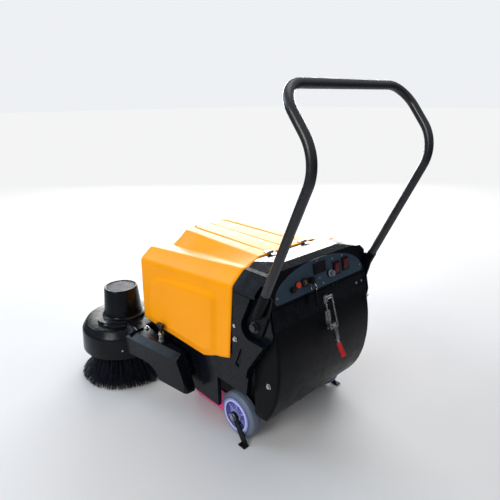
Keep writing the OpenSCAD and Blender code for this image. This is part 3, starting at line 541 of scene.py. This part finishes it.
def make_hood():
    stations = [HOOD_REAR + (HOOD_STRAIGHT - HOOD_REAR) * k / REAR_STATIONS for k in range(REAR_STATIONS)]
    along = round((CROWN_FOOT_FRONT - HOOD_STRAIGHT) / STATION_GAP)
    stations += [HOOD_STRAIGHT + STATION_GAP * k for k in range(along + 1)] + NOSE_STATIONS
    rings = [hood_ring(y) for y in stations]
    rings += [pull_in(hood_ring(y), inset) for y, inset in FRONT_ROUND]
    verts, faces = [p for ring in rings for p in ring], []
    n = len(rings[0])
    for i in range(len(rings) - 1):
        for k in range(n - 1):
            faces.append((i * n + k, (i + 1) * n + k, (i + 1) * n + k + 1, i * n + k + 1))
    last = (len(rings) - 1) * n
    faces += [(last + k, last + n - 1 - k, last + n - 2 - k, last + k + 1) for k in range(n // 2)]
    hood = piece("hood_shell", (verts, faces), LOOKS["hood_orange"], "hood", ["hood"], 30.0)
    make_wall(hood, HOOD_WALL, -1.0)


# ---- push handle ----------------------------------------------------------------------
HANDLE_PIVOT = Vector((237, -103, 428))
HANDLE_KNEE = Vector((250, -319, 893))
HANDLE_TOP = Vector((250, -203, 1045))
TUBE_START = 58.0
TUBE_RADIUS, KNEE_BEND, TOP_BEND = 0.012, 0.110, 0.072  # metres


def make_handle():
    start = HANDLE_PIVOT + (HANDLE_KNEE - HANDLE_PIVOT).normalized() * TUBE_START
    right_side = [p * MM for p in (start, HANDLE_KNEE, HANDLE_TOP)]
    left_side = [Vector((-p.x, p.y, p.z)) for p in right_side]
    path = corner_path(right_side + left_side[::-1], [KNEE_BEND, TOP_BEND, TOP_BEND, KNEE_BEND])
    tube = tube_mesh(path, TUBE_RADIUS, 36)
    piece("push_tube", tube, LOOKS["handle_paint"], "handle", ["handle_tube"])


# ---- wheels: outlines of (radius, distance from the wheel's middle) ---------------------
WHEEL_X, WHEEL_Z = 0.198, 0.075  # metres
TYRE = [
    (55.1, -15.0, 1.0), (60.0, -17.0, 2.0), (68.0, -16.0, 4.0), (74.2, -11.0, 5.0),
    (74.9, -6.4, 0.5), (73.6, -5.4, 0.3), (75.0, -4.4, 0.5),
    (75.0, 4.4, 0.5), (73.6, 5.4, 0.3), (74.9, 6.4, 0.5),
    (74.2, 11.0, 5.0), (68.0, 16.0, 4.0), (63.0, 16.8, 1.0), (62.0, 16.2, 0.4), (61.0, 16.9, 0.4),
    (57.0, 16.6, 2.0), (55.1, 15.0, 1.0),
]
HUB_RING = [(45.5, 20.4), (51.0, 20.8), (52.6, 19.6), (52.6, 21.2), (50.0, 22.8), (46.5, 22.0)]


def make_wheel(side, body, suffix):
    place = along_x(side * WHEEL_X, 0, WHEEL_Z, side)
    tyre = lathe(profile_mm(TYRE, 1.0), 96, place)
    piece("tyre_" + suffix + "_rubber", tyre, LOOKS["tyre_grey"], body, ["tyre_" + suffix])
    soften(NODES["hub_" + suffix], 1.6, 30.0, 3)
    ring = lathe(profile_mm(HUB_RING, 0.6, 3), 96, place)
    piece("hub_rim_" + suffix, ring, RIM_BRIGHT, body)


# ---- side brush: outlines of (radius, height) in mm --------------------------------------
BRUSH = (-0.265, 0.602)  # the axis in X and Y, in metres
GUARD = [
    (72, 225, 0.4), (137, 224.2, 5), (155.2, 197, 6), (159.8, 120, 1.2),
    (157, 118, 1), (152, 195, 5), (135.5, 220.5, 4), (72, 222, 0.4),
]
CAP = [
    (78, 230.4, 0.6), (78, 236.5, 2.2), (72, 238.5, 2.5), (69.6, 244, 4), (61.6, 333.5, 1), (61.2, 339.5, 3),
    (58.8, 344.6, 1.6), (54.4, 344.6, 1.2), (52.6, 341.2, 1.0), (20, 341.0, 0.5), (20, 337.6, 0.5),
    (56.5, 337.6, 3), (66.5, 242, 3), (73, 235, 1), (73, 230.4, 0.4),
]
CAP_DISC = [(0.5, 342.4, 0.1), (50.5, 342.4, 0.8), (52.4, 341.4, 0.3), (52.0, 340.4, 0.1), (0.5, 340.4, 0.1)]


def brush_piece(name, outline, radius, steps, material, replaced=()):
    shape = lathe(profile_mm(outline, radius, 5), steps, at(*BRUSH))
    piece(name, shape, material, "side_arm", replaced, 28.0)


def make_side_brush_covers():
    brush_piece("guard_shell", GUARD, 1.0, 160, LOOKS["black_cover"], ["brush_guard"])
    brush_piece("cap_shell", CAP, 1.0, 128, LOOKS["black_cover"], ["motor_cap"])
    brush_piece("cap_disc", CAP_DISC, 0.4, 96, DISC_GREY)


def strand(verts, faces, points, thick, thin):
    """One filament with three sides, tapering along its points."""
    base = len(verts)
    count = len(points)
    for i, p in enumerate(points):
        d = (points[min(i + 1, count - 1)] - points[max(i - 1, 0)]).normalized()
        a = d.orthogonal().normalized()
        b = d.cross(a)
        r = thick + (thin - thick) * i / (count - 1)
        for k in range(3):
            t = 2 * math.pi * k / 3
            verts.append(p + a * r * math.cos(t) + b * r * math.sin(t))
    for i in range(count - 1):
        bridge(faces, base + 3 * i, base + 3 * i + 3, 3)
    top = base + 3 * (count - 1)
    faces += [(base + 2, base + 1, base), (top, top + 1, top + 2)]


SIDE_TUFTS, SIDE_PER_TUFT, SIDE_REACH = 44, 20, 176.5
SIDE_RINGS = ((112.0, 172.0), (101.0, 152.0), (88.0, 128.0))
SIDE_ROOT_Z, SIDE_TIP_Z = 101.5, 2.5
SIDE_THICK, SIDE_THIN = 1.25 * MM, 0.75 * MM


def side_filament(rng, root_r, tip_r, middle):
    """Points of one filament, which flares outwards and leans a little with the turn."""
    a0 = middle + rng.gauss(0, 0.020)
    a1 = middle + rng.gauss(0, 0.055) + 0.05
    out = tip_r + rng.gauss(0, 3.0) - (6.0 if rng.random() < 0.1 else 0.0)
    out = min(out, SIDE_REACH)
    start = root_r + rng.uniform(-3, 3)
    low = SIDE_TIP_Z + rng.uniform(0, 7)
    points = []
    for s in (0.0, 0.25, 0.5, 0.75, 1.0):
        r = start + (out - start) * (0.55 * s + 0.45 * s * s)
        z = SIDE_ROOT_Z + (low - SIDE_ROOT_Z) * (1.12 * s - 0.12 * s * s)
        a = a0 + (a1 - a0) * s
        points.append(Vector((BRUSH[0] + r * math.cos(a) * MM, BRUSH[1] + r * math.sin(a) * MM, z * MM)))
    return points


def make_side_bristles():
    rng = random.Random(11)
    verts, faces = [], []
    for ring, (root_r, tip_r) in enumerate(SIDE_RINGS):
        for tuft in range(SIDE_TUFTS):
            middle = 2 * math.pi * (tuft + 0.5 * (ring % 2)) / SIDE_TUFTS
            for _ in range(SIDE_PER_TUFT):
                strand(verts, faces, side_filament(rng, root_r, tip_r, middle), SIDE_THICK, SIDE_THIN)
    bristles = (verts, faces)
    piece("side_brush_filaments", bristles, LOOKS["bristle"], "side_brush", ["side_bristles"], 0)


# ---- roller brush ---------------------------------------------------------------------
ROLLER_Y, ROLLER_Z, ROLLER_HALF = 152.0, 101.0, 158.0
ROLLER_ROOT, ROLLER_TIP = 37.0, 98.5
ROLLER_ROWS, ROLLER_ALONG, ROLLER_PER_TUFT = 10, 78, 4
ROLLER_SWEEP = 0.9
ROLLER_THICK, ROLLER_THIN = 1.0 * MM, 0.7 * MM


def roller_filament(rng, x, spiral):
    a0 = spiral + rng.gauss(0, 0.02)
    a1 = a0 + rng.gauss(0, 0.06)
    tip_x = x + rng.gauss(0, 2.0)
    points = []
    for s in (0.0, 0.5, 1.0):
        r, a = ROLLER_ROOT + (ROLLER_TIP - ROLLER_ROOT) * s, a0 + (a1 - a0) * s
        here_x = clamp(x + (tip_x - x) * s, -ROLLER_HALF - 1.0, ROLLER_HALF + 1.0)
        points.append(Vector((here_x, ROLLER_Y + r * math.cos(a), ROLLER_Z + r * math.sin(a))) * MM)
    return points


def make_roller_bristles():
    """Rows of tufts that sweep round from the middle to both ends."""
    rng = random.Random(5)
    verts, faces = [], []
    for row in range(ROLLER_ROWS):
        for i in range(ROLLER_ALONG):
            x = -ROLLER_HALF + 2 * ROLLER_HALF * i / (ROLLER_ALONG - 1)
            spiral = 2 * math.pi * row / ROLLER_ROWS + ROLLER_SWEEP * abs(x) / ROLLER_HALF
            for _ in range(ROLLER_PER_TUFT):
                strand(verts, faces, roller_filament(rng, x, spiral), ROLLER_THICK, ROLLER_THIN)
    piece("roller_filaments", (verts, faces), LOOKS["bristle"], "roller", ["roller_bristles"], 0)


# ---- fittings of the brush arm --------------------------------------------------------
ARM_TOP = 0.230  # metres
LIFT_SCREW, STRAP_BOLT = (-0.274, 0.316), (-0.262, 0.432)  # metres
SCREW_HOLE, NUT_HOLE = 4.1, 4.8
COIL_TURNS, COIL_RADIUS, COIL_WIRE = 5.0, 7.4, 1.3
COIL_LOW, COIL_HIGH = 232.8, 256.6
COIL_POINTS, COIL_END = 150, 0.08
GUARD_SCREW_ANGLES = (238, 150, 62)
GUARD_SCREW_R, GUARD_SCREW_Z = 0.1572, 0.155  # metres


def coil_spring():
    """A spring whose wire lies level at both ends."""
    points = []
    for i in range(COIL_POINTS + 1):
        s = i / COIL_POINTS
        a = 2 * math.pi * COIL_TURNS * s
        z = between(COIL_LOW, COIL_HIGH, (s - COIL_END) / (1 - 2 * COIL_END))
        ray = Vector((math.cos(a), math.sin(a), 0)) * COIL_RADIUS
        points.append(at(*LIFT_SCREW, z * MM)(ray * MM))
    return tube_mesh(points, COIL_WIRE * MM)


def make_fittings():
    """Spring, washers and nut of the lift screw, and the bolt at the root of the strap."""
    screw, bolt = at(*LIFT_SCREW, ARM_TOP), at(*STRAP_BOLT, ARM_TOP)
    parts = [
        coil_spring(),
        lathe(disc_profile(11.0, 0.1, 1.5, 0.3, SCREW_HOLE), 48, screw),
        lathe(disc_profile(9.5, 28.0, 34.0, 0.8, NUT_HOLE), 6, screw),
        lathe(disc_profile(10.4, 26.6, 27.9, 0.3, SCREW_HOLE), 48, screw),
        lathe(disc_profile(7.8, 0.1, 1.5, 0.3), 48, bolt),
        lathe(disc_profile(6.0, 1.5, 6.0, 0.8), 6, bolt),
        lathe(disc_profile(3.0, 6.0, 9.0, 0.6), 32, bolt),
    ]
    piece("arm_fittings_zinc", merged(parts), LOOKS["zinc"], "side_arm", ["arm_fittings"], 35.0)


def make_guard_screws():
    parts = []
    for degrees in GUARD_SCREW_ANGLES:
        a = math.radians(degrees)
        base = Vector((*BRUSH, GUARD_SCREW_Z)) + Vector((math.cos(a), math.sin(a), 0.0)) * GUARD_SCREW_R
        parts.append(lathe(disc_profile(3.4, 0.0, 2.6, 1.2), 28, along_ray(base, a)))
    piece("guard_screw_heads", merged(parts), LOOKS["zinc"], "side_arm", [], 30.0)


STRAP_BASE = 225.3
STRAP_INNER, STRAP_OUTER = 81.0, (114.0, 94.0)
STRAP_HIGH = (241.0, 236.0)
STRAP_FROM, STRAP_SWEEP, STRAP_STEPS = -110, 76, 18


def strap_stations():
    """Outer and inner edge of the strap, and their heights, from the arm round the cap's base."""
    stations = [
        (Vector((-334, 441)), Vector((-303, 430)), 225.8, 239.0),
        (Vector((-328, 456)), Vector((-300, 452)), 226.2, 240.5),
    ]
    middle = Vector(BRUSH) / MM
    for k in range(STRAP_STEPS + 1):
        t = k / STRAP_STEPS
        a = math.radians(STRAP_FROM - STRAP_SWEEP * t)
        ray = Vector((math.cos(a), math.sin(a)))
        outer = between(*STRAP_OUTER, smooth((t - 0.45) / 0.55))
        high = between(*STRAP_HIGH, smooth((t - 0.6) / 0.4))
        stations.append((middle + ray * outer, middle + ray * STRAP_INNER, 227.0, high))
    return stations


def make_strap():
    """Sloping band that rises from the arm, crosses the guard and hugs the cap's base."""
    verts, faces = [], []
    stations = strap_stations()
    for outer, inner, low, high in stations:
        across = inner - outer
        section = [
            (outer, STRAP_BASE), (outer, low + 0.8), (outer + across * 0.03, low + 2.2),
            (outer + across * 0.80, high - 0.6), (outer + across * 0.90, high),
            (outer + across * 0.97, high - 0.8), (inner, high - 2.2), (inner, STRAP_BASE),
        ]
        verts += [Vector((p.x, p.y, z)) * MM for p, z in section]
    n = len(verts) // len(stations)
    last = (len(stations) - 1) * n
    for start in range(0, last, n):
        bridge(faces, start, start + n, n)
    faces += [tuple(range(n - 1, -1, -1)), tuple(last + k for k in range(n))]
    piece("arm_strap", (verts, faces), LOOKS["black_cover"], "side_arm", [], 35.0)


# ---- leaning rear face ------------------------------------------------------------------
LEAN = math.radians(12.4)
REAR_Y, REAR_Z = -0.1505, 0.4828  # metres
REAR_OUT = Vector((0, -math.cos(LEAN), math.sin(LEAN)))
REAR_UP = Vector((0, math.sin(LEAN), math.cos(LEAN)))
SOCKET = (-78, 45)
KEY_RING, KEY_RING_RADIUS, KEY_WIRE = (-54, 26, 16.1), 10.2, 1.3


def rear_place(x, s, h):
    """Maps a local point to the leaning rear face: X, up the face, and out of it."""
    base = Vector((x * MM, REAR_Y, REAR_Z)) + REAR_UP * s * MM + REAR_OUT * h * MM
    return lambda p: base + Vector((p.x, 0, 0)) + REAR_UP * p.y + REAR_OUT * p.z


def make_panel_metal():
    contact = lathe(disc_profile(4.2, 0.0, 1.8, 0.7), 40, rear_place(*SOCKET, 10.1))
    rim = [(6.4, -3.0, 0.2), (7.8, -3.0, 0.2), (7.8, 0.4, 0.4), (6.4, 0.4, 0.4)]
    ring = lathe(profile_mm(rim, 0.2, 3), 48, rear_place(*SOCKET, 9.1))
    piece("socket_contact", merged([contact, ring]), BRASS, "chassis", [], 30.0)
    place = rear_place(*KEY_RING)
    circle = []
    for i in range(48):
        a = 2 * math.pi * i / 48
        circle.append(place(Vector((0, math.cos(a), math.sin(a))) * KEY_RING_RADIUS * MM))
    wire = tube_mesh(circle, KEY_WIRE * MM, closed=True)
    piece("key_ring_wire", wire, LOOKS["zinc"], "key_body", [], 40.0)


# ---- hopper ---------------------------------------------------------------------------
HOPPER_HALF, HOPPER_FLAT = 211.5, 171.0
HOPPER_LOW, HOPPER_TOP = 101.5, 427.0
HOPPER_CORNER, HOPPER_EDGE = 40.5, 6.0
HOPPER_SHEET = 3.0
HOPPER_ROWS = 60
NECK_HALF, NECK_REAR, NECK_FRONT = 164.5, -85.5, 36.5
NECK_FRAME_X, NECK_FRAME_Z = 156.0, (112.0, 260.0)
HOPPER_BACK = fillet(
    [(-161.3, 427), (-177.1, 355), (-179.5, 280), (-169.5, 213), (-150.5, 161), (-129, 125.5),
     (-109, 102.5), (NECK_REAR, HOPPER_LOW)], [34, 34, 34, 30, 22, 20, 12], 6)


def back_levels():
    """Points of the hopper's back at heights that come closer together towards the top."""
    levels = []
    for k in range(HOPPER_ROWS + 1):
        z = HOPPER_LOW + (HOPPER_TOP - HOPPER_LOW) * (1 - (k / HOPPER_ROWS) ** 1.15)
        for a, b in zip(HOPPER_BACK, HOPPER_BACK[1:]):
            if b.y <= z <= a.y and a.y > b.y:
                levels.append((a.x + (b.x - a.x) * (a.y - z) / (a.y - b.y), z))
                break
        else:
            levels.append((HOPPER_BACK[-2].x, z))
    return levels


def back_y(levels, z):
    """Where the hopper's back lies at a height."""
    for (y0, z0), (y1, z1) in zip(levels, levels[1:]):
        if z >= z1:
            return between(y0, y1, (z0 - z) / max(z0 - z1, 1e-6))
    return levels[-1][0]


def hopper_columns():
    """X of each column of points, close together round the bottom corners and the back edges."""
    xs = {0.0, 40.0, 80.0, 120.0, 150.0, HOPPER_FLAT, HOPPER_HALF}
    for a in range(8, 91, 8):
        xs.add(HOPPER_FLAT + HOPPER_CORNER * math.sin(math.radians(a)))
    for a in (20, 40, 60, 75):
        xs.add(HOPPER_HALF - HOPPER_EDGE + HOPPER_EDGE * math.sin(math.radians(a)))
    xs = sorted(xs)
    return [-x for x in xs[:0:-1]] + xs


def hopper_column(x, levels):
    """The back of the trough at one X, from the top down, with its corner and edge rounded."""
    low = HOPPER_LOW + round_in(abs(x), HOPPER_FLAT + HOPPER_CORNER, HOPPER_CORNER)
    shift = round_in(abs(x), HOPPER_HALF, HOPPER_EDGE)
    heights = [low + (HOPPER_TOP - low) * (1 - k / HOPPER_ROWS) for k in range(HOPPER_ROWS + 1)]
    return [(back_y(levels, z) + shift, z) for z in heights]


def hopper_trough():
    """The curved back, the flat front beside the neck, and both ends; it is open at the top."""
    levels, xs = back_levels(), hopper_columns()
    verts, faces = [], []
    ring = 2 * (HOPPER_ROWS + 1)
    for x in xs:
        column = hopper_column(x, levels)
        verts += [Vector((x, y, z)) * MM for y, z in column]
        verts += [Vector((x, NECK_REAR, z)) * MM for y, z in reversed(column)]
    for i, (x, next_x) in enumerate(zip(xs, xs[1:])):
        rows = ring - 1 if max(abs(x), abs(next_x)) >= NECK_HALF else HOPPER_ROWS + 1
        for k in range(rows):
            faces.append((i * ring + k, (i + 1) * ring + k, (i + 1) * ring + k + 1, i * ring + k + 1))
    for end in (0, (len(xs) - 1) * ring):
        for k in range(HOPPER_ROWS):
            faces.append((end + k, end + k + 1, end + ring - 2 - k, end + ring - 1 - k))
    return verts, faces


def hopper_neck():
    """The open box in front of the trough, with a window in its front wall."""
    rows = [HOPPER_LOW, *NECK_FRAME_Z, HOPPER_TOP]
    cols = [-NECK_HALF, -NECK_FRAME_X, NECK_FRAME_X, NECK_HALF]
    verts = [Vector((x, NECK_FRONT, z)) * MM for z in rows for x in cols]
    faces = [(4 * r + c, 4 * r + c + 1, 4 * r + c + 5, 4 * r + c + 4)
             for r in range(3) for c in range(3) if (r, c) != (1, 1)]
    half, low, top, rear, ahead = NECK_HALF, HOPPER_LOW, HOPPER_TOP, NECK_REAR, NECK_FRONT
    walls = [[(x, rear, low), (x, ahead, low), (x, ahead, top), (x, rear, top)] for x in (-half, half)]
    walls.append([(-half, rear, low), (half, rear, low), (half, ahead, low), (-half, ahead, low)])
    for wall in walls:
        base = len(verts)
        verts += [Vector(p) * MM for p in wall]
        faces.append((base, base + 1, base + 2, base + 3))
    return verts, faces


def make_hopper():
    """The hopper's trough with a smoothly curved back, and the neck in front of it."""
    shape = merged([hopper_trough(), hopper_neck()])
    plastic = LOOKS["hopper_plastic"]
    hopper = piece("hopper_shell", shape, plastic, "hopper_unit", ["hopper"], 32.0)
    make_wall(hopper, HOPPER_SHEET, 0.0)


make_hood()
make_handle()
make_wheel(-1.0, "wheel_l", "left")
make_wheel(1.0, "wheel_r", "right")
make_side_brush_covers()
make_side_bristles()
make_roller_bristles()
make_fittings()
make_guard_screws()
make_strap()
make_hopper()
make_panel_metal()


# ---- floor and light ------------------------------------------------------------------
FLOOR_HALF = 40.0  # metres, like every length in this section
FLOOR_LIGHT, FLOOR_DARK, FLOOR_FAR = (0.66, 0.66, 0.665), (0.62, 0.62, 0.625), (0.10, 0.10, 0.10)
FADE_FROM, FADE_TO, FAR_GLOW = 0.8, 2.3, 0.82
HORIZON, ZENITH, DOME_TOP = 0.12, 0.60, 0.55
BACKDROP, SKY = 0.90, (0.95, 0.97, 1.0)
LIGHTS = {
    "key": dict(place=(-3.0, -0.3, 1.7), target=(-0.2, 0.2, 0.35), size=(1.3, 1.3), power=46.0,
                color=(1.0, 0.98, 0.95)),
    "far_panel": dict(place=(2.6, 3.0, 1.35), target=(0, 0.2, 0.5), size=(4.2, 1.5), power=210.0,
                      color=(1.0, 1.0, 1.0)),
    "left_sky": dict(place=(-1.9, 3.4, 2.4), target=(-0.2, 0.2, 0.4), size=(2.4, 1.5), power=60.0,
                     color=(0.62, 0.80, 1.0)),
    "top": dict(place=(0.6, 0.2, 3.4), target=(0, 0.2, 0.3), size=(1.8, 1.8), power=18.0,
                color=(0.9, 0.95, 1.0)),
}


def floor_material():
    """Pale near the machine; further off it gives way to an even glow that only the camera sees."""
    n = Nodes("floor")
    tone = n.mix(n.ramp(n.noise(1.2, 3.0), 0.3, 0.7, 0.0, 1.0), rgba(FLOOR_DARK), rgba(FLOOR_LIGHT))
    n.shade("Roughness", n.ramp(n.noise(40.0), 0.3, 0.7, 0.55, 0.7))
    n.shade("Specular IOR Level", 0.15)
    away = n.add("ShaderNodeVectorMath", Vector=n.coords)
    away.operation = "LENGTH"
    far = n.ramp(away.outputs["Value"], FADE_FROM, FADE_TO, 0.0, 1.0)
    n.shade("Base Color", n.mix(far, tone, rgba(FLOOR_FAR)))
    n.shade("Emission Color", rgba((1.0, 1.0, 1.0)))
    glow = n.ramp(away.outputs["Value"], FADE_FROM, FADE_TO, 0.0, FAR_GLOW)
    n.shade("Emission Strength", n.times(glow, n.add("ShaderNodeLightPath").outputs["Is Camera Ray"]))
    return n.material


def make_floor():
    h = FLOOR_HALF
    mesh = bpy.data.meshes.new("floor")
    mesh.from_pydata([(-h, -h, 0), (h, -h, 0), (h, h, 0), (-h, h, 0)], [], [(0, 1, 2, 3)])
    mesh.materials.append(floor_material())
    floor = bpy.data.objects.new("floor", mesh)
    SCENE.collection.objects.link(floor)


def make_world():
    """A studio dome that brightens upwards, with a plain backdrop in front of the camera."""
    world = bpy.data.worlds.new("studio")
    SCENE.world = world
    world.use_nodes = True
    tree = world.node_tree
    background = next(node for node in tree.nodes if node.type == "BACKGROUND")
    coords = tree.nodes.new("ShaderNodeTexCoord")
    height = tree.nodes.new("ShaderNodeSeparateXYZ")
    tree.links.new(coords.outputs["Generated"], height.inputs[0])
    dome = tree.nodes.new("ShaderNodeMapRange")
    for key, value in {"From Min": 0.0, "From Max": DOME_TOP, "To Min": HORIZON, "To Max": ZENITH}.items():
        dome.inputs[key].default_value = value
    tree.links.new(height.outputs["Z"], dome.inputs["Value"])
    seen = tree.nodes.new("ShaderNodeLightPath")
    strength = tree.nodes.new("ShaderNodeMix")
    strength.inputs[3].default_value = BACKDROP
    tree.links.new(seen.outputs["Is Camera Ray"], strength.inputs[0])
    tree.links.new(dome.outputs["Result"], strength.inputs[2])
    tree.links.new(strength.outputs[0], background.inputs["Strength"])
    background.inputs["Color"].default_value = rgba(SKY)
    SCENE.view_settings.view_transform = "Standard"


def make_light(name, place, target, size, power, color):
    data = bpy.data.lights.new(name, "AREA")
    data.shape = "RECTANGLE"
    data.size, data.size_y = size
    data.energy, data.color = power, color
    lamp = bpy.data.objects.new(name, data)
    lamp.location = place
    lamp.rotation_euler = (Vector(target) - Vector(place)).to_track_quat("-Z", "Y").to_euler()
    lamp.visible_camera = False
    SCENE.collection.objects.link(lamp)


make_floor()
make_world()
for name, settings in LIGHTS.items():
    make_light(name, **settings)
